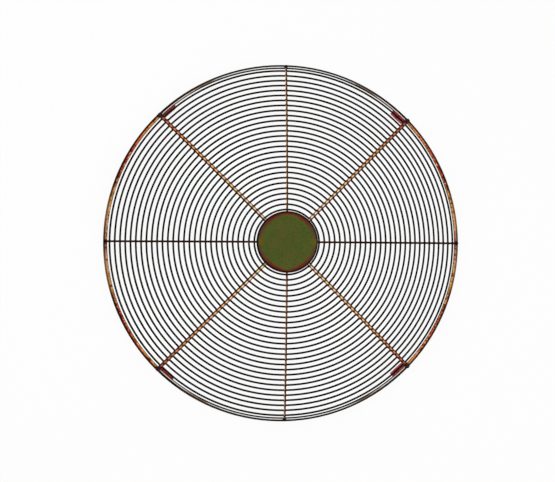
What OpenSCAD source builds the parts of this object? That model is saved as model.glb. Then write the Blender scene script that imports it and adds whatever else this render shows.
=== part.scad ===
// Wire fan guard: twenty-eight concentric rings and a heavier rim hoop, all welded to the back of
// eight radial wires that follow one shallow dome. Four of the radials are thin spokes, the four
// on the diagonals are thick rods. A pressed disc closes the middle, and four flat lugs stand
// behind the rim, one beside each rod, so that screws can hold the guard round a fan opening.
//
// The guard lies on its back: +Z is the front, the origin is the middle of the plane that the
// lugs stand on. Every wire touches one sphere, the seat: rings and rim lie under it, the
// radial wires lie on it. All sizes are in millimetres.

/* [Overall] */
// Outside diameter of the rim hoop
overall_d = 540; // [440:1:680]
// How far the middle of the dome stands proud of the rim
dome_rise = 27; // [15:1:60]

/* [Rings] */
// Number of rings inside the rim
ring_count = 28; // [20:1:30]
// Wire of the rings
ring_wire = 2.8; // [1.8:0.1:3.2]
// Diameter of the first ring, along the middle of its wire
first_ring_d = 96; // [94:1:130]

/* [Rim and radial wires] */
// Wire of the rim hoop
rim_wire = 6; // [4:0.1:7]
// Wire of the four thin spokes
spoke_wire = 3; // [2.5:0.1:4]
// Wire of the four thick rods
rod_wire = 5.5; // [4.5:0.1:7]
// How far the wire ends stay back from the outside of the rim
end_inset = 1.2; // [0.2:0.1:2]

/* [Centre disc] */
// Diameter of the pressed disc
disc_d = 90.5; // [74:0.5:91]
// Thickness of its sheet
disc_t = 1.5; // [1:0.1:2]
// Radius of its rounded shoulder, which is its height too
disc_shoulder = 4.5; // [3:0.1:7]
// How far each thick rod runs in under the disc
rod_lap = 28; // [10:1:30]
// How far each thin spoke runs in under the disc
spoke_lap = 8; // [5:1:20]

/* [Mounting lugs] */
// Width of a lug, along the rim
lug_w = 26; // [20:1:34]
// Depth of a lug, from the radial wires to its rear edge
lug_depth = 20; // [16:1:30]
// Thickness of a lug
lug_t = 2; // [1.5:0.1:3]
// Hole for the screw
lug_hole_d = 6.5; // [4.5:0.1:8]
// Height of the hole's middle above the rear edge
lug_hole_up = 8; // [7:0.5:10]
// Distance of the hole's middle from the lug's middle, away from the rod and its weld
lug_hole_out = 3; // [1:0.5:4]
// Radius of the two rear corners
lug_corner = 4; // [2:0.5:6]

/* [Fits] */
// Room between two pieces that are welded where they touch
weld_gap = 0.05; // [0.02:0.01:0.2]

/* [Hidden] */
ring_fn = 180;
wire_fn = 36;
arc_fn = 720;
through = 1;

// Where the radial wires run, seen from the front with +Y as the top.
spoke_names = ["right", "top", "left", "bottom"];
rod_names = ["top_right", "top_left", "bottom_left", "bottom_right"];
quarter = 90;
first_rod_angle = 45;
// Each lug reaches from its rod towards the top or the bottom of the guard.
lug_side = [1, -1, 1, -1];

// The rim, the lug inside it and the last ring inside the lug. A lug is flat and the rim is
// round, so the lug's outer face clears the rim at the lug's two ends.
rim_r = (overall_d - rim_wire) / 2;
rim_inner_r = rim_r - rim_wire / 2;
lug_outer = sqrt(pow(rim_inner_r - weld_gap, 2) - pow(lug_w / 2, 2));
lug_inner = lug_outer - lug_t;
last_ring_r = lug_inner - weld_gap - ring_wire / 2;

// The seat sphere, whose middle lies far below the guard. The wires over a lug's front edge
// clear it there.
seat_r = (pow(rim_r, 2) + pow(dome_rise, 2)) / (2 * dome_rise);
seat_z = lug_depth + weld_gap - sqrt(pow(seat_r, 2) - pow(rim_inner_r, 2));

// Rings are spaced evenly along the dome, from the first to the last.
ring_path_r = seat_r - weld_gap - ring_wire / 2;
rim_path_r = seat_r - weld_gap - rim_wire / 2;
first_lean = asin(first_ring_d / 2 / ring_path_r);
last_lean = asin(last_ring_r / ring_path_r);
ring_step = (last_lean - first_lean) / (ring_count - 1);
function ring_lean(i) = first_lean + ring_step * i;

// The disc's edge stands on the rods.
rod_top_r = seat_r + rod_wire;
disc_seat_r = disc_d / 2 - disc_t;
disc_z = seat_z + sqrt(pow(rod_top_r, 2) - pow(disc_seat_r, 2)) + weld_gap;

function two_digits(n) = n < 10 ? str("0", n) : str(n);
function ring_name(i) = str("ring_", two_digits(i + 1));

// A closed hoop of wire, whose middle line leans out from the sphere's axis by an angle.
module hoop(path_r, lean, wire) {
    translate([0, 0, seat_z + path_r * cos(lean)])
        rotate_extrude($fn = ring_fn)
            translate([path_r * sin(lean), 0])
                circle(d = wire, $fn = wire_fn);
}

// A radial wire, bent to the dome. It lies on the seat from an inner radius to the rim.
module radial_wire(wire, inner_r, angle) {
    inner_lean = asin(inner_r / (seat_r + wire / 2));
    outer_lean = asin((overall_d / 2 - end_inset) / (seat_r + wire));
    translate([0, 0, seat_z])
        rotate([90, 0, angle])
            rotate([0, 0, 90 - outer_lean])
                rotate_extrude(angle = outer_lean - inner_lean, $fn = arc_fn)
                    translate([seat_r + wire / 2, 0])
                        circle(d = wire, $fn = wire_fn);
}

module ring(i) {
    color([0.06, 0.05, 0.05])
        hoop(ring_path_r, ring_lean(i), ring_wire);
}

module rim_hoop() {
    color([0.42, 0.22, 0.1])
        hoop(rim_path_r, asin(rim_r / rim_path_r), rim_wire);
}

module thin_spoke(i) {
    color([0.3, 0.16, 0.08])
        radial_wire(spoke_wire, disc_d / 2 - spoke_lap, quarter * i);
}

module thick_rod(i) {
    color([0.65, 0.42, 0.25])
        radial_wire(rod_wire, disc_d / 2 - rod_lap, first_rod_angle + quarter * i);
}

// Half of a shallow cap in section: flat on top, rounded down to its foot.
module cap_section(r, corner) {
    flat_r = disc_d / 2 - disc_shoulder;
    square([flat_r, corner]);
    intersection() {
        translate([flat_r, 0])
            circle(r = corner, $fn = wire_fn * 2);
        square([r, corner]);
    }
}

module centre_disc() {
    color([0.31, 0.33, 0.13])
        translate([0, 0, disc_z])
            rotate_extrude($fn = ring_fn)
                difference() {
                    cap_section(disc_d / 2, disc_shoulder);
                    cap_section(disc_d / 2 - disc_t, disc_shoulder - disc_t);
                }
}

// The outline of a lug, seen from the middle of the guard: square in front, round behind.
module lug_outline() {
    translate([-lug_w / 2, lug_corner])
        square([lug_w, lug_depth - lug_corner]);
    translate([lug_corner - lug_w / 2, 0])
        square([lug_w - 2 * lug_corner, lug_corner]);
    for (x = [lug_corner - lug_w / 2, lug_w / 2 - lug_corner])
        translate([x, lug_corner])
            circle(r = lug_corner, $fn = wire_fn);
}

// A lug stands square to the radius through its own middle, with one end under its rod.
module lug(i) {
    turn = lug_side[i] * atan(lug_w / 2 / lug_inner);
    color([0.3, 0.08, 0.05])
        rotate([0, 0, first_rod_angle + quarter * i + turn])
            translate([lug_inner, 0, 0])
                rotate([90, 0, 90])
                    difference() {
                        linear_extrude(lug_t)
                            lug_outline();
                        translate([lug_side[i] * lug_hole_out, lug_hole_up, -through])
                            cylinder(d = lug_hole_d, h = lug_t + 2 * through, $fn = wire_fn);
                    }
}

for (i = [0 : ring_count - 1])
    ring(i);
rim_hoop();
centre_disc();
for (i = [0 : 3])
    thin_spoke(i);
for (i = [0 : 3])
    thick_rod(i);
for (i = [0 : 3])
    lug(i);
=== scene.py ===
# %% [markdown]
# # A wire fan guard, finished in Blender
#
# A fan guard is a shallow dome of wire rings, welded to the back of eight radial wires. Four of
# the radials are thin spokes and four are thick rods. A pressed disc closes the middle, and four
# flat lugs behind the rim take the screws. Its solid pieces come from the CAD model, exact and
# already in place, so this notebook adds what CAD leaves out: the camera, the light, the finish
# of every wire and the welds that hold them together.

# %% Load the CAD model
import math
import bpy
from mathutils import Matrix, Vector


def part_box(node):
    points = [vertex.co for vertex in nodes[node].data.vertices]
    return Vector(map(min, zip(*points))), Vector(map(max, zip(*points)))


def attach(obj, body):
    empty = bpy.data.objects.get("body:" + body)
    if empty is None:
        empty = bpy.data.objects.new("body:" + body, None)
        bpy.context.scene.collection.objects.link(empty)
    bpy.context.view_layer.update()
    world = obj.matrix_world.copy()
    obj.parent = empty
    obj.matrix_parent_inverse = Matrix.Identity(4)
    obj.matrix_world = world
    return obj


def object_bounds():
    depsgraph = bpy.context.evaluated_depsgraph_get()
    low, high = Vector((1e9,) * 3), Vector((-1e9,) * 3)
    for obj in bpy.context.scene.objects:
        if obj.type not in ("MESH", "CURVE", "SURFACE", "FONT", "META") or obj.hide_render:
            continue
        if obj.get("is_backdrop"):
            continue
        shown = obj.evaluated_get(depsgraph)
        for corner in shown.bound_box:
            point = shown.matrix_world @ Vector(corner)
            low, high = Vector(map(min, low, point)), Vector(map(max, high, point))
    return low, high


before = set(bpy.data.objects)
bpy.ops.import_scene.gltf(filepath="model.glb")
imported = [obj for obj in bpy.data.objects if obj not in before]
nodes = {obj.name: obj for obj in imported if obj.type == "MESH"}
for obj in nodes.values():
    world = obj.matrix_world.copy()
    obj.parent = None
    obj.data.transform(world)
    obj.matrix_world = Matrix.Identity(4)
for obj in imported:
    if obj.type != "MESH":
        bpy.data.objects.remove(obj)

cad_low, cad_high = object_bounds()
mm = 0.001
print(len(nodes), "pieces,", [round(side / mm, 1) for side in cad_high - cad_low], "mm")

# %% [markdown]
# ## Measuring the dome
#
# Nearly every position in this notebook follows from one fact: all the wires touch one large
# sphere, the rings from below and the radial wires from above. A ring's box gives its radius,
# its height and the thickness of its wire. Two rings are enough to find the middle of the
# sphere, which lies far below the guard, because both rings are equally far from it. After
# that, a place on the dome is one number: how far it leans out from the guard's axis.

# %% Find the sphere that the wires touch
def hoop_size(name):
    """Radius and height of a hoop's middle line, and the radius of its wire."""
    low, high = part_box(name)
    wire = (high.z - low.z) / 2
    return high.x - wire, (low.z + high.z) / 2, wire

ring_names = sorted(name for name in nodes if name.startswith("ring_"))
first_r, first_z, ring_wire = hoop_size(ring_names[0])
last_r, last_z, _ = hoop_size(ring_names[-1])
rim_r, rim_z, _ = hoop_size("rim_hoop")
dome_z = (last_r**2 - first_r**2 + last_z**2 - first_z**2) / (2 * (last_z - first_z))

def lean(r, z):
    """How far a point of the dome leans out from the axis, seen from the sphere's middle."""
    return math.atan2(r, z - dome_z)

seat = math.hypot(first_r, first_z - dome_z) + ring_wire
first_lean, last_lean, rim_lean = lean(first_r, first_z), lean(last_r, last_z), lean(rim_r, rim_z)
ring_step = (last_lean - first_lean) / (len(ring_names) - 1)
print(f"sphere of {seat / mm:.0f} mm radius, its middle {-dome_z / mm:.0f} mm below the guard")
print(f"{len(ring_names)} rings, {ring_step * seat / mm:.2f} mm apart")

# %% [markdown]
# ## Camera
#
# The guard lies on its back and the camera looks down on it from one metre, almost straight.
# It is tipped a few degrees to one side, which is why the disc, the highest piece, stands a
# little to the right of the middle. The turns are written as matrices, one for each axis. The
# inverse of a camera's turn is what takes the guard's own axes to the camera's, so the matrix
# is made that way round and then inverted.

# %% Aim the camera
aim = Vector((0, 0, 46 * mm))
distance = 1.0
roll, tilt, sway = math.radians(-0.25), math.radians(-1.08), math.radians(5.64)
turn = (Matrix.Rotation(roll, 3, "Z") @ Matrix.Rotation(tilt, 3, "X")
        @ Matrix.Rotation(sway, 3, "Y")).inverted()
camera = bpy.data.objects.new("camera", bpy.data.cameras.new("camera"))
bpy.context.scene.collection.objects.link(camera)
camera.matrix_world = Matrix.Translation(aim + turn @ Vector((0, 0, distance))) @ turn.to_4x4()
camera.data.lens = 44.05
camera.data.shift_x, camera.data.shift_y = -0.017, 0.0018
camera.data.clip_start, camera.data.clip_end = 0.01, 50
bpy.context.scene.camera = camera
bpy.context.scene.view_settings.view_transform = "Standard"
print("camera at", [round(c, 3) for c in camera.matrix_world.translation])

# %% [markdown]
# ## A small language for materials
#
# A material is a graph of nodes, and a graph takes many lines to wire by hand. Two short
# classes make it read like arithmetic. `Paint` holds the graph and adds one node at a time:
# its type, its settings, then what goes into its sockets. `Value` wraps one output socket, and
# its operators add Math nodes, so `1 - mask` is a node too. Colours are not numbers, so they go
# through `Paint.mix` and never through a Math node, which would turn them grey.

# %% Let a socket do sums
class Value:
    """One output of a node. A sum written with it adds Math nodes to the same material."""

    def __init__(self, paint, socket):
        self.paint, self.socket = paint, socket

    def maths(self, operation, *others):
        sockets = dict(enumerate((self, *others)))
        return self.paint.add("ShaderNodeMath", {"operation": operation}, sockets)

    def __add__(self, other): return self.maths("ADD", other)
    def __sub__(self, other): return self.maths("SUBTRACT", other)
    def __mul__(self, other): return self.maths("MULTIPLY", other)
    def __truediv__(self, other): return self.maths("DIVIDE", other)
    def __pow__(self, other): return self.maths("POWER", other)
    def __abs__(self): return self.maths("ABSOLUTE")
    def __radd__(self, other): return self.maths("ADD", other)
    def __rmul__(self, other): return self.maths("MULTIPLY", other)
    def __rsub__(self, other):
        return self.paint.add("ShaderNodeMath", {"operation": "SUBTRACT"}, {0: other, 1: self})

    def rise(self, start, end):
        """0 up to start, 1 from end on, and a smooth step between them. It falls if end < start."""
        if end < start:
            return 1 - self.rise(end, start)
        return self.paint.add("ShaderNodeMapRange", {"interpolation_type": "SMOOTHSTEP"},
                              {"Value": self, "From Min": start, "From Max": end})

print("a Value takes + - * / ** and abs, and can rise")

# %% Add nodes one at a time
class Paint:
    """The graph of a material or of a world, made one node at a time."""

    def __init__(self, block):
        block.use_nodes = True
        self.block, self.tree = block, block.node_tree
        self.tree.nodes.clear()

    def add(self, kind, settings=None, sockets=None, out=0):
        node = self.tree.nodes.new(kind)
        for name, setting in (settings or {}).items():
            if name == "stops":
                ramp = node.color_ramp.elements
                ramp[0].position, ramp[0].color = setting[0]
                ramp[1].position, ramp[1].color = setting[-1]
                for place, colour in setting[1:-1]:
                    ramp.new(place).color = colour
            else:
                setattr(node, name, setting)
        for key, value in (sockets or {}).items():
            if isinstance(value, Value):
                self.tree.links.new(value.socket, node.inputs[key])
            else:
                node.inputs[key].default_value = value
        return Value(self, node.outputs[out])

    def outputs(self, kind, *names):
        """Several outputs of one node that has no inputs to set."""
        node = self.tree.nodes.new(kind)
        return [Value(self, node.outputs[name]) for name in names]

    def mix(self, below, above, mask):
        """The colour above laid over the colour below, as strongly as the mask says."""
        # A Mix node has sockets for each kind of data. Its colours are 6 and 7, and come out at 2.
        return self.add("ShaderNodeMix", {"data_type": "RGBA"},
                        {0: mask, 6: below, 7: above}, out=2)

    def ramp(self, where, stops):
        """A colour that changes with a value. The stops are pairs of place, 0 to 1, and colour."""
        return self.add("ShaderNodeValToRGB", {"stops": stops}, {"Fac": where})

    def finish(self, shader):
        kind = "World" if isinstance(self.block, bpy.types.World) else "Material"
        output = self.tree.nodes.new("ShaderNodeOutput" + kind)
        self.tree.links.new(shader.socket, output.inputs["Surface"])
        return self.block

print("a Paint can add a node, mix two colours, run through a ramp and finish")

# %% Name a colour
def shade(red, green, blue):
    """A colour as a screen shows it, 0 to 255, turned into the linear light that shaders use."""
    def linear(c):
        c /= 255
        # The sRGB standard's own curve: straight near black, and a power above it.
        return c / 12.92 if c <= 0.04045 else ((c + 0.055) / 1.055) ** 2.4
    return (linear(red), linear(green), linear(blue), 1)

print("a middle grey of 128 is", round(shade(128, 128, 128)[0], 3), "in linear light")

# %% [markdown]
# ## Background, floor and light
#
# The guard is shown on plain white. White comes from what the camera and reflections see, not
# from more light on the guard: the world and the floor ask Light Path which kind of ray has
# arrived. Other rays find a softer grey world. The floor is mostly that white and partly a real
# diffuse surface, so the wires still throw a faint shadow on it. Two large soft lamps, one on
# each side, bring the light to a level where a colour looks about as it is written.

# %% Make the white surroundings
def seen_directly(paint):
    """1 for camera, mirror and glass rays, 0 for the rays that carry light between surfaces."""
    camera_ray, mirror_ray, glass_ray = paint.outputs(
        "ShaderNodeLightPath", "Is Camera Ray", "Is Glossy Ray", "Is Transmission Ray")
    return camera_ray.maths("MAXIMUM", mirror_ray).maths("MAXIMUM", glass_ray)

room_light = 0.5
room = Paint(bpy.data.worlds.new("white_room"))
brightness = room_light + (1 - room_light) * seen_directly(room)
bpy.context.scene.world = room.finish(room.add("ShaderNodeBackground", sockets={
    "Color": (1, 1, 1, 1), "Strength": brightness}))
print("the room looks white and gives", room_light, "of full light")

# %% Lay the floor
just_below = cad_low.z - 0.5 * mm
bpy.ops.object.select_all(action="DESELECT")
bpy.ops.mesh.primitive_plane_add(size=3, location=(0, 0, just_below))
floor = bpy.context.object
floor.name = "floor"
bpy.ops.object.transform_apply(location=True)
paint = Paint(bpy.data.materials.new("floor_white"))
matt = paint.add("ShaderNodeBsdfDiffuse", sockets={"Color": (0.9, 0.9, 0.9, 1)})
white = paint.add("ShaderNodeEmission", sockets={"Color": (1, 1, 1, 1), "Strength": 1.0})
plain_white = 0.92 * seen_directly(paint)
floor.data.materials.append(paint.finish(paint.add("ShaderNodeMixShader", sockets={
    0: plain_white, 1: matt, 2: white})))
floor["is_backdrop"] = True
print("floor at", round(floor.data.vertices[0].co.z / mm, 2), "mm")

# %% Hang the lamps
def soft_lamp(name, place, size, power):
    """A square lamp that faces the middle of the guard."""
    lamp = bpy.data.objects.new(name, bpy.data.lights.new(name, "AREA"))
    bpy.context.scene.collection.objects.link(lamp)
    lamp.data.size, lamp.data.energy = size, power
    lamp.matrix_world = (Matrix.Translation(place)
                         @ (Vector(place) - aim).to_track_quat("Z", "Y").to_matrix().to_4x4())
    print(name, "is", size, "m wide and gives", power, "W")

soft_lamp("lamp_left", place=(-0.9, 0.5, 1.5), size=1.2, power=10.5)
soft_lamp("lamp_right", place=(0.9, -0.4, 1.6), size=1.2, power=8.5)

# %% [markdown]
# ## Where on the guard?
#
# Every finish below asks the same questions of a point on a wire. How far out is it? At which
# bearing? Does the wire face the front there, or its neighbour? The guard is round, so the
# answers are radius, bearing and the surface normal taken apart. They all come from Object
# coordinates and the object-space normal. Those belong to the guard and not to the camera, so
# a pattern stays where it is when the guard turns.

# %% Ask a point where it is
class Spot:
    """What a finish may want to know about the point that it is colouring."""

    def __init__(self, paint):
        self.point, normal = paint.outputs("ShaderNodeTexCoord", "Object", "Normal")
        x, y, z = self.split(paint, self.point)
        nx, ny, self.front = self.split(paint, normal)
        self.x, self.y, self.z, self.normal_x, self.normal_y = x, y, z, nx, ny
        self.out = (x * x + y * y) ** 0.5
        self.lean = self.out.maths("ARCTAN2", z - dome_z)
        self.bearing = abs(y).maths("ARCTAN2", abs(x))
        self.outward = (nx * x + ny * y) / self.out

    @staticmethod
    def split(paint, vector):
        node = paint.add("ShaderNodeSeparateXYZ", sockets={"Vector": vector}).socket.node
        return [Value(paint, node.outputs[axis]) for axis in "XYZ"]

print("a Spot knows x, y, z, out, lean, bearing, front, outward, normal_x and normal_y")

# %% Patterns that the finishes share
def mottle(paint, spot, size, detail=2.0, rough=0.5):
    """Soft cloudy variation, 0 to 1, with clouds of about the given size in metres."""
    sockets = {"Vector": spot.point, "Scale": 1 / size, "Detail": detail, "Roughness": rough}
    return paint.add("ShaderNodeTexNoise", {"noise_dimensions": "3D"}, sockets)


def bumps(paint, height, depth):
    """A normal that follows a height from 0 to 1, as deep as the given distance."""
    sockets = {"Strength": 1.0, "Distance": depth, "Height": height}
    return paint.add("ShaderNodeBump", sockets=sockets)


def near_crossing(spot, reach, soft):
    """1 where a ring runs behind a radial wire, and 0 further along the wire than reach."""
    count = (spot.lean - first_lean) / ring_step
    away = abs((count + 0.5).maths("FRACT") - 0.5) * (ring_step * seat)
    return away.rise(reach + soft, reach)

print("shared patterns: clouds, bumps and the places where a ring crosses a wire")

# %% [markdown]
# ## Ring wire
#
# The rings are thin drawn wire under a near-black finish. At this size a wire is almost a line,
# so what shows is how dark it is and how it changes along its length. The finish is a dark
# base with faint brown clouds, and it turns red-brown beside each radial wire, where the weld
# burnt it. The distance from the nearest radial wire is an arc: the bearing left over after the
# nearest eighth of a turn, times the radius. Low specular keeps the sky from greying it.

# %% Finish the rings
def give_finish(names, paint, **sockets):
    """Ends a material with its main shader, and puts it on CAD pieces, whose shape stays."""
    sockets = {name.replace("_", " "): value for name, value in sockets.items()}
    material = paint.finish(paint.add("ShaderNodeBsdfPrincipled", sockets=sockets))
    for name in names:
        nodes[name].data.materials.clear()
        nodes[name].data.materials.append(material)
    print(material.name, "on", len(names), "pieces")


def burnt_beside_radials(spot, reach, soft):
    """1 on a ring beside a radial wire, where the weld's heat has reached."""
    eighth = math.pi / 4
    left_over = abs((spot.bearing / eighth + 0.5).maths("FRACT") - 0.5) * eighth
    return (left_over * spot.out).rise(reach + soft, reach)

paint = Paint(bpy.data.materials.new("ring_wire"))
spot = Spot(paint)
clouds = mottle(paint, spot, 9 * mm).rise(0.42, 0.68)
colour = paint.mix(shade(9, 8, 7), shade(30, 20, 15), clouds)
colour = paint.mix(colour, shade(52, 22, 12), burnt_beside_radials(spot, 3.4 * mm, 2.2 * mm))
grain = mottle(paint, spot, 0.5 * mm, detail=3)
give_finish(ring_names, paint, Base_Color=colour, Roughness=0.42 + 0.16 * clouds,
            Specular_IOR_Level=0.03, Normal=bumps(paint, grain, 0.04 * mm))

# %% [markdown]
# ## Rim hoop
#
# The rim is the heaviest wire and the one that catches the light, and its finish is largely
# painted light. Seen across, it is a painted highlight along the crest between two lines of
# painted shade on the flanks, with the outer line the heavier, because the front of the guard
# looks at the rim from inside its circle. Round the hoop the colours change, partly the wire's
# own tint and partly painted reflection: tan, gold and a hot mottled red at the two sides, and a
# near-white painted highlight from the rods to the top and the bottom, with a burnt patch on
# each stretch. So the finish is four colour ramps over the bearing, from the level axis at 0 to
# the upright one at 90 degrees: one each for the outer line of painted shade, the shoulder, the
# painted highlight on the crest and the inner line of painted shade. Where a point lies across
# the wire comes from its normal, and noise on the bearing keeps the zones from ending in
# straight lines.

# %% Make the ramps round the rim
def round_rim(paint, where, *stops):
    """A colour that changes with the bearing, given as (degrees, red, green, blue)."""
    return paint.ramp(where, [(degrees / 90, shade(*rgb)) for degrees, *rgb in stops])

paint = Paint(bpy.data.materials.new("rim_wire"))
spot = Spot(paint)
# The zones wander, but at the rods, where a weld divides them, they end sharply.
away_from_rods = abs(spot.bearing - math.pi / 4).rise(0.03, 0.15)
wander = (mottle(paint, spot, 20 * mm) - 0.5) * 0.12 * away_from_rods
where = spot.bearing / (math.pi / 2) + wander
# Painted light: the outer and inner ramps are painted shade on the flanks, and the crest ramp is a
# painted highlight, partly the wire's own gold at the sides and near white at the top and the
# bottom.
outer_painted_shade = round_rim(
    paint, where, (0, 34, 13, 6), (8, 124, 84, 55), (13, 108, 72, 33), (18, 36, 6, 3),
    (38, 36, 7, 3), (45, 18, 12, 10), (54, 14, 5, 3), (60, 54, 38, 28), (68, 12, 10, 9))
shoulder = round_rim(
    paint, where, (0, 124, 54, 42), (4, 176, 126, 98), (8, 204, 152, 106), (14, 172, 128, 72),
    (20, 92, 24, 12), (26, 122, 24, 16), (31, 176, 52, 34), (36, 208, 96, 48), (43, 204, 114, 52),
    (46, 70, 54, 48), (50, 52, 38, 32), (60, 98, 76, 60), (68, 46, 43, 40))
painted_highlight = round_rim(
    paint, where, (0, 152, 86, 62), (4, 200, 140, 104), (8, 218, 162, 108), (12, 226, 178, 84),
    (15, 196, 142, 70), (20, 190, 98, 46), (26, 188, 82, 42), (33, 210, 98, 48), (39, 222, 136, 64),
    (44, 236, 168, 78), (46, 252, 242, 234), (56, 250, 240, 232), (60, 118, 92, 72),
    (64, 130, 114, 102), (68, 236, 232, 228), (80, 255, 252, 250))
inner_painted_shade = round_rim(
    paint, where, (0, 52, 20, 10), (14, 84, 48, 22), (38, 56, 24, 12), (45, 20, 11, 9),
    (70, 9, 8, 7))
print("four ramps round the rim, from the level axis to the upright one")

# %% Lay the ramps across the wire
degrees = spot.bearing * (180 / math.pi)
side_on = degrees.rise(46, 42)

def by_quarter(top_and_bottom, sides):
    """One mask on the rim's top and bottom quarters, and another on its two side quarters."""
    return top_and_bottom * (1 - side_on) + sides * side_on

painted_glint_flecks = mottle(paint, spot, 3.4 * mm, detail=3, rough=0.6)
pits = mottle(paint, spot, 3.6 * mm, detail=2, rough=0.55)
# Painted glints: bright flecks on the crest and the shoulder at the sides. The dark pits are the
# wire's own mottling.
painted_highlight = paint.mix(painted_highlight, shade(250, 214, 166), 0.8 * side_on * painted_glint_flecks.rise(0.53, 0.6))
painted_highlight = paint.mix(painted_highlight, shade(92, 28, 12), 0.95 * side_on * pits.rise(0.48, 0.4))
shoulder = paint.mix(shoulder, shade(214, 132, 60), 0.75 * side_on * painted_glint_flecks.rise(0.53, 0.6))
shoulder = paint.mix(shoulder, shade(60, 12, 5), 0.9 * side_on * pits.rise(0.47, 0.38))
# From 1 at the outer line of painted shade to -1 at the inner one. The front looks at the rim
# from inside its circle, which turns the painted light across the wire by 16 degrees, and
# nearest the top and the bottom the painted highlight lies a little further out.
across = 0.96 * spot.outward + 0.27 * spot.front - 0.2 * degrees.rise(58, 66)
on_painted_highlight = by_quarter(across.rise(0.04, -0.2), across.rise(-0.1, -0.38))
on_inner_painted_shade = by_quarter(across.rise(-0.34, -0.52), across.rise(-0.68, -0.88))
# Outer painted shade, then the shoulder, the painted highlight on the crest, and the inner painted
# shade.
colour = paint.mix(outer_painted_shade, shoulder, across.rise(0.32, 0.1))
colour = paint.mix(colour, painted_highlight, on_painted_highlight)
colour = paint.mix(colour, inner_painted_shade, on_inner_painted_shade)
draw = mottle(paint, spot, 0.8 * mm, detail=3)
give_finish(["rim_hoop"], paint, Base_Color=colour, Roughness=0.34 + 0.25 * painted_glint_flecks,
            Metallic=0.15 * side_on, Specular_IOR_Level=0.03, Normal=bumps(paint, draw, 0.06 * mm))

# %% [markdown]
# ## Thick rods
#
# The rods carry the guard and show the most colour, much of it painted light. A painted
# highlight runs along the crest: pale copper near the disc and gold in the middle, and it
# reddens towards the rim. One flank is a warm brown painted as lit, and the flank that faces the
# level axis is a far darker painted shade, with a nearly black edge, so the highlight looks
# narrow and off to one side. Every ring welded behind the rods leaves a brown band of heat. The
# last few millimetres, over the rim, are burnt black around a pale grey end face. The change
# along the rod is a colour ramp over the radius, and the bands repeat with the rings, because
# both are counted in the same lean angle.

# %% Make the colours along a rod
def along(paint, spot, *stops):
    """A colour that changes on the way out from the disc, given as (radius in mm, colour)."""
    first, last = stops[0][0], stops[-1][0]
    part = (spot.out - first * mm) / ((last - first) * mm)
    return paint.ramp(part, [((r - first) / (last - first), colour) for r, colour in stops])

at_disc, inner_part, middle_part, outer_part, at_rim = 40, 110, 180, 235, 268
rod_names = [name for name in nodes if name.startswith("thick_rod_")]
paint = Paint(bpy.data.materials.new("rod_wire"))
spot = Spot(paint)
patch = mottle(paint, spot, 15 * mm).rise(0.45, 0.58)
painted_highlight = along(paint, spot, (at_disc, shade(255, 222, 194)), (inner_part, shade(252, 198, 150)),
              (middle_part, shade(240, 164, 104)), (outer_part, shade(212, 116, 72)),
              (at_rim, shade(172, 66, 52)))
golden_painted_highlight = along(paint, spot, (at_disc, shade(255, 226, 158)), (middle_part, shade(236, 182, 90)),
               (outer_part, shade(194, 126, 56)), (at_rim, shade(158, 56, 40)))
painted_highlight = paint.mix(painted_highlight, golden_painted_highlight, 0.85 * patch)
painted_lit_flank = along(paint, spot, (at_disc, shade(184, 120, 78)), (middle_part, shade(150, 82, 44)),
                   (at_rim, shade(112, 34, 20)))
painted_shaded_flank = along(paint, spot, (at_disc, shade(60, 30, 14)), (middle_part, shade(46, 20, 8)),
                  (at_rim, shade(36, 9, 5)))
print(len(rod_names), "rods, coloured from", at_disc, "to", at_rim, "mm out")

# %% Lay them across it
# A rod runs at 45 degrees, so on its flank the normal's y is 1 over the square root of 2. That
# makes this -1 at the edge painted as lit and 1 at the edge in painted shade, which faces the
# level axis.
across = -1.414 * spot.normal_y * spot.y.maths("SIGN")
# Painted light across the rod: the painted highlight on the crest, between a flank painted as lit
# and a flank in painted shade.
colour = paint.mix(painted_lit_flank, painted_highlight, across.rise(-0.62, -0.4))
colour = paint.mix(colour, painted_shaded_flank, across.rise(0.06, 0.36))
# Painted shade at both edges: brown on the lit flank, nearly black on the shaded one.
colour = paint.mix(colour, shade(112, 72, 50), across.rise(-0.8, -0.94))
colour = paint.mix(colour, shade(16, 7, 4), across.rise(0.82, 0.94))
band = near_crossing(spot, 1.1 * mm, 1.3 * mm)
uneven = mottle(paint, spot, 7 * mm, detail=1)
colour = paint.mix(colour, shade(54, 21, 10), band * (0.66 + 0.4 * uneven))
burnt_flank = near_crossing(spot, 1.6 * mm, 1.2 * mm) * abs(across).rise(0.3, 0.62)
colour = paint.mix(colour, shade(14, 7, 5), burnt_flank)
over_rim = spot.out.rise(257 * mm, 264 * mm)
colour = paint.mix(colour, shade(24, 9, 7), 0.92 * over_rim)
# Pale grey on the rod's end face.
pale_end_face = spot.outward.rise(0.7, 0.85) * spot.out.rise(264 * mm, 265 * mm)
colour = paint.mix(colour, shade(150, 146, 142), pale_end_face)
draw = mottle(paint, spot, 0.7 * mm, detail=3)
give_finish(rod_names, paint, Base_Color=colour, Roughness=0.34 + 0.25 * band, Metallic=0.2,
            Specular_IOR_Level=0.1, Normal=bumps(paint, draw, 0.05 * mm))

# %% [markdown]
# ## Thin spokes
#
# The spokes are thinner and duller. The two upright ones are brown, with a peach painted
# highlight down their left flank and painted shade on the right one. The two level ones are the
# same wire painted nearly as dark as the rings, as shade. One material serves all four: it asks
# whether the point lies nearer the upright axis or the level one.

# %% Finish the thin spokes
spoke_names = [name for name in nodes if name.startswith("thin_spoke_")]
paint = Paint(bpy.data.materials.new("spoke_wire"))
spot = Spot(paint)
upright = abs(spot.y).maths("GREATER_THAN", abs(spot.x))
patch = mottle(paint, spot, 14 * mm).rise(0.42, 0.62)
copper_with_painted_light = paint.mix(shade(116, 72, 40), shade(136, 88, 48), patch)
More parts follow.
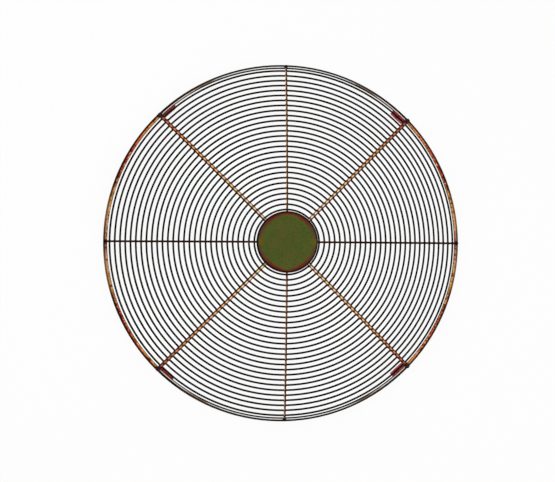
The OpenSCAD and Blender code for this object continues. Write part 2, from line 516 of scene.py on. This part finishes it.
# Painted highlight down the left flank of the upright spokes, and painted shade on the right one.
copper_with_painted_light = paint.mix(copper_with_painted_light, shade(244, 192, 142), spot.normal_x.rise(-0.35, -0.7))
copper_with_painted_light = paint.mix(copper_with_painted_light, shade(40, 24, 15), spot.normal_x.rise(-0.2, 0.2))
copper_with_painted_light = paint.mix(copper_with_painted_light, shade(104, 46, 32), spot.out.rise(56 * mm, 50 * mm))
# Painted shade: the level spokes are the same wire, coloured dark because they catch no light.
shaded_level_spoke = along(paint, spot, (at_disc, shade(56, 25, 13)), (inner_part, shade(32, 11, 5)),
              (at_rim, shade(20, 6, 3)))
band = near_crossing(spot, 1.0 * mm, 1.2 * mm)
copper_with_painted_light = paint.mix(copper_with_painted_light, shade(40, 18, 11), 0.75 * band)
shaded_level_spoke = paint.mix(shaded_level_spoke, shade(58, 28, 16), 0.5 * band)
colour = paint.mix(shaded_level_spoke, copper_with_painted_light, upright)
colour = paint.mix(colour, shade(12, 7, 6), spot.out.rise(262 * mm, 265 * mm))
draw = mottle(paint, spot, 0.6 * mm, detail=3)
give_finish(spoke_names, paint, Base_Color=colour, Roughness=0.4 + 0.2 * band,
            Specular_IOR_Level=0.03, Normal=bumps(paint, draw, 0.05 * mm))

# %% [markdown]
# ## Lugs
#
# A lug is a flat plated strip with one hole, seen on edge behind the rim. The weld has burnt its
# front edge dark red and left a brighter red bloom below it, which fades through pink into dull
# grey plating near the rear edge. Heat spreads unevenly, so the height that picks the colour
# has noise added to it.

# %% Finish the lugs
lug_names = [name for name in nodes if name.startswith("lug_")]
paint = Paint(bpy.data.materials.new("lug_plate"))
spot = Spot(paint)
clouds = mottle(paint, spot, 5 * mm, detail=3)
heat = spot.z + (clouds - 0.5) * (5 * mm)
spangle = mottle(paint, spot, 1.6 * mm, detail=2)
plating = paint.mix(shade(240, 232, 229), shade(214, 202, 198), spangle.rise(0.4, 0.6))
colour = paint.mix(plating, shade(242, 150, 142), heat.rise(-2 * mm, 1.5 * mm))
colour = paint.mix(colour, shade(208, 38, 44), heat.rise(0.5 * mm, 4.5 * mm))
colour = paint.mix(colour, shade(170, 22, 16), heat.rise(11 * mm, 17 * mm))
front_edge = spot.z.rise(19.2 * mm, 19.9 * mm)
colour = paint.mix(colour, shade(104, 12, 9), front_edge * clouds.rise(0.36, 0.56))
scorch = heat.rise(0, 4.5 * mm)
give_finish(lug_names, paint, Base_Color=colour, Roughness=0.34 + 0.16 * scorch,
            Metallic=0.4 - 0.4 * scorch, Specular_IOR_Level=0.2,
            Normal=bumps(paint, spangle, 0.05 * mm))

# %% [markdown]
# ## Centre disc
#
# The disc is pressed from sheet and painted olive. It looks even from afar, but it isn't: the
# green drifts from a browner middle to fresher patches near the shoulder, a fine orange peel
# covers it, and on the rounded shoulder the paint thins to a worn brown. Round the very edge
# runs a black line of painted shade. The wear is redder towards the top and the bottom, yellower
# where the level spokes reach it, and it reaches furthest in at the diagonals, where the thick
# rods are. It is found by radius, and each colour through it is a ramp.

# %% Paint the disc olive
disc_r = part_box("centre_disc")[1].x
paint = Paint(bpy.data.materials.new("disc_paint"))
spot = Spot(paint)
drift = mottle(paint, spot, 13 * mm, detail=1.0)
speck = mottle(paint, spot, 4.2 * mm, detail=3.0, rough=0.7)
part = spot.out / disc_r
diagonal = 1 - abs(spot.bearing * (4 / math.pi) - 1)
worn = part + (mottle(paint, spot, 7 * mm, detail=3) - 0.5) * 0.12 + 0.07 * (diagonal - 0.4)
olive = paint.mix(shade(71, 83, 31), shade(83, 84, 34), drift.rise(0.35, 0.65))
olive = paint.mix(olive, shade(62, 96, 34), 0.75 * speck.rise(0.5, 0.62) * part.rise(0.2, 0.8))
olive = paint.mix(olive, shade(92, 78, 28), 0.6 * speck.rise(0.48, 0.38))
dark_spots = mottle(paint, spot, 3.1 * mm, detail=2).rise(0.53, 0.64)
olive = paint.mix(olive, shade(58, 70, 22), 0.6 * dark_spots)
print("a disc of", round(2 * disc_r / mm, 1), "mm, olive in the middle")

# %% Wear its shoulder
wear_starts = 0.84
through = (worn - wear_starts) / (1 - wear_starts)
brown = paint.ramp(through, [(0.0, shade(84, 70, 32)), (0.35, shade(92, 60, 38)),
                             (0.7, shade(84, 52, 40)), (1.0, shade(58, 32, 24))])
red = paint.ramp(through, [(0.0, shade(92, 70, 26)), (0.3, shade(108, 44, 20)),
                           (0.7, shade(88, 24, 11)), (1.0, shade(60, 14, 8))])
shoulder = paint.mix(brown, red, spot.bearing.rise(0.5, 1.1))
colour = paint.mix(olive, shoulder, worn.rise(0.82, 0.9))
beside_level_spokes = abs(spot.y).rise(7 * mm, 2 * mm) * part.rise(0.72, 0.88)
colour = paint.mix(colour, shade(104, 84, 14), 0.75 * beside_level_spokes)
# Painted shade: a black line round the disc's very edge.
colour = paint.mix(colour, shade(6, 4, 3), part.rise(0.922, 0.962))
peel = mottle(paint, spot, 1.1 * mm, detail=2.0)
give_finish(["centre_disc"], paint, Base_Color=colour, Roughness=0.45 + 0.12 * speck,
            Specular_IOR_Level=0.06, Normal=bumps(paint, peel, 0.05 * mm))

# %% [markdown]
# ## Weld spots
#
# Each radial wire is resistance-welded to all the rings it crosses. The current melts the two
# wires where they touch, and a little metal is squeezed out flat on both sides of the radial.
# That is a dark pebble, a few millimetres long, and there are more than two hundred of them, so
# each has only a few dozen faces. One pebble is modelled for each kind of wire: a cylinder with
# few sides, pressed to an oval, then bevelled along both rims until nothing of the cylinder is
# left. It is copied along one wire, every copy with its own mesh and a slightly different
# size and twist, as no two welds are alike.

# %% Model one pebble
import random

def pebble(name, along_wire, across, thick):
    """An oval weld pebble at the origin: its long way is across the wire, which runs along X."""
    bpy.ops.object.select_all(action="DESELECT")
    bpy.ops.mesh.primitive_cylinder_add(vertices=10, radius=0.5, depth=1,
                                        scale=(along_wire, across, thick))
    piece = bpy.context.object
    piece.name = name
    bpy.ops.object.transform_apply(location=False, rotation=False, scale=True)
    bpy.ops.object.mode_set(mode="EDIT")
    bpy.ops.mesh.select_mode(type="EDGE")
    bpy.ops.mesh.select_all(action="DESELECT")
    bpy.ops.object.mode_set(mode="OBJECT")
    for edge in piece.data.edges:
        one_end, other_end = [piece.data.vertices[v].co.z for v in edge.vertices]
        edge.select = abs(one_end - other_end) < 0.001 * mm     # it lies flat, on one of the rims
    bpy.ops.object.mode_set(mode="EDIT")
    bpy.ops.mesh.bevel(offset=0.46 * thick, segments=2, profile=0.6)
    bpy.ops.object.mode_set(mode="OBJECT")
    bpy.ops.object.shade_smooth()
    return piece

rod_pebble = pebble("rod_pebble", along_wire=3.9 * mm, across=8.9 * mm, thick=1.9 * mm)
spoke_pebble = pebble("spoke_pebble", along_wire=3.6 * mm, across=5.2 * mm, thick=1.7 * mm)
print(len(rod_pebble.data.polygons), "faces in a pebble")

# %% Tools for laying copies
weld_luck = random.Random(5)

def place_copy(piece, place, wobble):
    """One more mesh like the piece's, moved by a matrix and a little different."""
    twist = Matrix.Rotation(weld_luck.uniform(-wobble, wobble), 4, "Z")
    swell = [1 + weld_luck.uniform(-wobble, wobble) for _ in range(3)]
    copy = bpy.data.objects.new(piece.name, piece.data.copy())
    copy.data.transform(place @ twist @ Matrix.Diagonal((*swell, 1)))
    bpy.context.scene.collection.objects.link(copy)
    return copy


def join(pieces, name, paint_block):
    """Several meshes made one object that rides on the guard."""
    bpy.ops.object.select_all(action="DESELECT")
    for piece in pieces:
        piece.select_set(True)
    bpy.context.view_layer.objects.active = pieces[0]
    bpy.ops.object.join()
    piece = bpy.context.object
    piece.name = name
    piece.data.materials.clear()
    piece.data.materials.append(paint_block)
    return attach(piece, "root")


def on_dome(bearing, lean_out, above):
    """The matrix that lays a piece on the dome: X points outwards and Z away from the dome."""
    return (Matrix.Rotation(bearing, 4, "Z") @ Matrix.Translation((0, 0, dome_z))
            @ Matrix.Rotation(lean_out, 4, "Y") @ Matrix.Translation((0, 0, seat + above)))

print("a copy is laid on the dome by its bearing and its lean")

# %% [markdown]
# ## The finish of the welds
#
# Weld metal is burnt: nearly black, with a red-brown bloom here and there. One material serves
# all the welds, as they were all made on the same day.

# %% Finish the welds and lay them
paint = Paint(bpy.data.materials.new("weld_metal"))
spot = Spot(paint)
bloom = mottle(paint, spot, 3 * mm, detail=3).rise(0.46, 0.64)
scale = mottle(paint, spot, 0.6 * mm, detail=3)
weld_paint = paint.finish(paint.add("ShaderNodeBsdfPrincipled", sockets={
    "Base Color": paint.mix(shade(10, 6, 5), shade(62, 24, 13), bloom),
    "Roughness": 0.5 + 0.2 * bloom, "Specular IOR Level": 0.05,
    "Normal": bumps(paint, scale, 0.06 * mm)}))

ring_leans = [first_lean + ring_step * k for k in range(len(ring_names))]
wires = ["right", "top_right", "top", "top_left", "left", "bottom_left", "bottom", "bottom_right"]
sunk = -0.15 * mm
for turns, name in enumerate(wires):
    shape = rod_pebble if turns % 2 else spoke_pebble
    bearing = math.radians(45 * turns)
    copies = [place_copy(shape, on_dome(bearing, out, sunk), wobble=0.12) for out in ring_leans]
    row = join(copies, "welds_" + name, weld_paint)
print(len(wires), "rows of", len(ring_leans), "weld spots,",
      len(row.data.polygons), "faces in a row")

# %% [markdown]
# ## Welds at the rim
#
# Where a radial wire ends on the rim the weld is larger, and on the thick rods it has run right
# over the joint. The same pebble shape serves, larger, and a second one stands beside each lug,
# where its side edge touches the inside of the rim. A lug's box is turned with the lug, but its
# middle is still the lug's middle, so that gives its bearing and its distance.

# %% Lay the rim welds
rod_rim_pebble = pebble("rod_rim_pebble", along_wire=5.2 * mm, across=9.4 * mm, thick=2.6 * mm)
spoke_rim_pebble = pebble("spoke_rim_pebble", along_wire=4.6 * mm, across=6.4 * mm, thick=2.2 * mm)
just_inside_rim = rim_lean - 0.6 * mm / seat
copies = []
for turns in range(len(wires)):
    shape = rod_rim_pebble if turns % 2 else spoke_rim_pebble
    place = on_dome(math.radians(45 * turns), just_inside_rim, 0)
    copies.append(place_copy(shape, place, wobble=0.08))
join(copies, "welds_rim", weld_paint)
print(len(copies), "welds at the rim")

# %% Lay the lug welds and clear the patterns away
lug_pebble = pebble("lug_pebble", along_wire=2.2 * mm, across=3.6 * mm, thick=2.2 * mm)
lug_width = 26 * mm
outwards, from_edge, above_rim = 0.2 * mm, 0.6 * mm, 0.4 * mm
copies = []
for name in lug_names:
    low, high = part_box(name)
    middle = (low + high) / 2
    bearing = math.atan2(middle.y, middle.x)
    for side in (-1, 1):
        sideways = side * (lug_width / 2 - from_edge)
        edge = (math.hypot(middle.x, middle.y) + outwards, sideways, rim_z + above_rim)
        place = Matrix.Rotation(bearing, 4, "Z") @ Matrix.Translation(edge)
        copies.append(place_copy(lug_pebble, place, wobble=0.1))
join(copies, "welds_lugs", weld_paint)

for shape in (rod_pebble, spoke_pebble, rod_rim_pebble, spoke_rim_pebble, lug_pebble):
    bpy.data.objects.remove(shape)
print(len(copies), "welds at the lugs, and no pattern left over")

# %% Measure the box of the finished scene
low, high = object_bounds()
print("box:", [round(side / mm, 1) for side in high - low], "mm")
